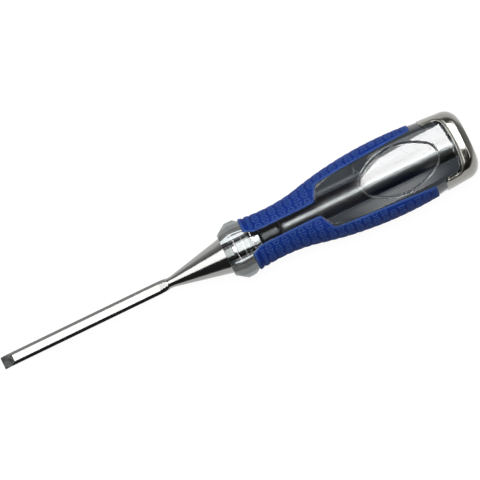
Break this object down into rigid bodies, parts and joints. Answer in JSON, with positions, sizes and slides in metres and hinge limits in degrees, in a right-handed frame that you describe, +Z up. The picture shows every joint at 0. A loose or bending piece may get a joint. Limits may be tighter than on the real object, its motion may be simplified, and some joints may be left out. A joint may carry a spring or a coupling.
{
  "type": "wood chisel",
  "caption": "Bevel-edge wood chisel with a conical bolster, a clear belly-shaped handle with soft grip pads, a six-sided collar and a steel strike cap on a rod.",
  "frame": {"origin": "centre of the tool's footprint on the surface it lies on, under the axis of the handle", "axes": "+X along the tool from cutting edge to butt, +Z up on the side of the ground bevel, +Y to the tool's side"},
  "size_m": [0.2426, 0.0382, 0.0256],
  "materials": {
    "blade_steel": "ground and polished lengthwise",
    "clear_core": "clear, smoky, polished",
    "grip_rubber": "soft, embossed with small shapes",
    "rod_steel": "bright drawn",
    "cap_steel": "polished plate"
  },
  "bodies": {
    "root": {"blade": "blade_steel", "handle_core": "clear_core", "grip_pad_left": "grip_rubber", "grip_pad_right": "grip_rubber", "strike_rod": "rod_steel", "strike_cap": "cap_steel"}
  },
  "joints": []
}
